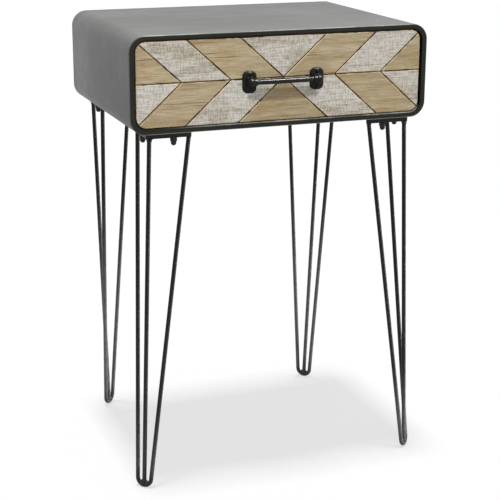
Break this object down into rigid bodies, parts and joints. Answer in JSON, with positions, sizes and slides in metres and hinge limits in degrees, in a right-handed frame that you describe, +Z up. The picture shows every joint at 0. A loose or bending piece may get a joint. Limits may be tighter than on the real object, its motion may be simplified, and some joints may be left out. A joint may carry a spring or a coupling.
{
  "type": "side table with drawer",
  "caption": "Side table with a rounded sheet-metal case, a chevron-tiled wooden drawer with a bar handle, and three-rod hairpin legs.",
  "frame": {"origin": "on the floor under the middle of the whole table's box", "axes": "+Z up, +X to the right as seen from the front, the drawer opens towards -Y"},
  "size_m": [0.45, 0.3556, 0.665],
  "materials": {
    "case_steel": "satin grey",
    "rim_steel": "semi-gloss",
    "leg_steel": "semi-gloss",
    "dark_screws": "blackened",
    "runner_steel": "zinc plated",
    "bumper_rubber": "matt",
    "natural_wood": "rough-sawn",
    "whitewashed_wood": "whitewashed",
    "box_wood": "planed",
    "slide_wood": "planed",
    "handle_iron": "gloss black"
  },
  "bodies": {
    "case": {"back_panel": "case_steel", "back_panel_screws": "dark_screws", "case_wrap": "case_steel", "front_left_bracket": "leg_steel", "front_left_corner_rod": "leg_steel", "front_left_hairpin_rod": "leg_steel", "front_right_bracket": "leg_steel", "front_right_corner_rod": "leg_steel", "front_right_hairpin_rod": "leg_steel", "front_rim": "rim_steel", "leg_bolts": "dark_screws", "leg_cap_nuts": "dark_screws", "leg_washers": "dark_screws", "rear_bumpers": "bumper_rubber", "rear_left_bracket": "leg_steel", "rear_left_corner_rod": "leg_steel", "rear_left_hairpin_rod": "leg_steel", "rear_right_bracket": "leg_steel", "rear_right_corner_rod": "leg_steel", "rear_right_hairpin_rod": "leg_steel", "runner_left": "runner_steel", "runner_right": "runner_steel"},
    "drawer": {"drawer_back": "box_wood", "drawer_bottom": "box_wood", "drawer_front_board": "box_wood", "drawer_side_left": "box_wood", "drawer_side_right": "box_wood", "handle_bar": "handle_iron", "handle_foot_left": "handle_iron", "handle_foot_right": "handle_iron", "handle_screws": "handle_iron", "slide_bar_left": "slide_wood", "slide_bar_right": "slide_wood", "slide_bar_screws": "runner_steel", "tile_lower_1": "whitewashed_wood", "tile_lower_2": "natural_wood", "tile_lower_3": "whitewashed_wood", "tile_lower_4": "natural_wood", "tile_lower_5": "whitewashed_wood", "tile_lower_6": "natural_wood", "tile_lower_7": "whitewashed_wood", "tile_upper_1": "natural_wood", "tile_upper_2": "whitewashed_wood", "tile_upper_3": "natural_wood", "tile_upper_4": "whitewashed_wood", "tile_upper_5": "natural_wood", "tile_upper_6": "whitewashed_wood", "tile_upper_7": "natural_wood"}
  },
  "joints": [
    {"name": "drawer_slide", "type": "slide", "parent": "case", "child": "drawer", "axis": [0, -1, 0], "range_m": [0, 0.22]}
  ]
}
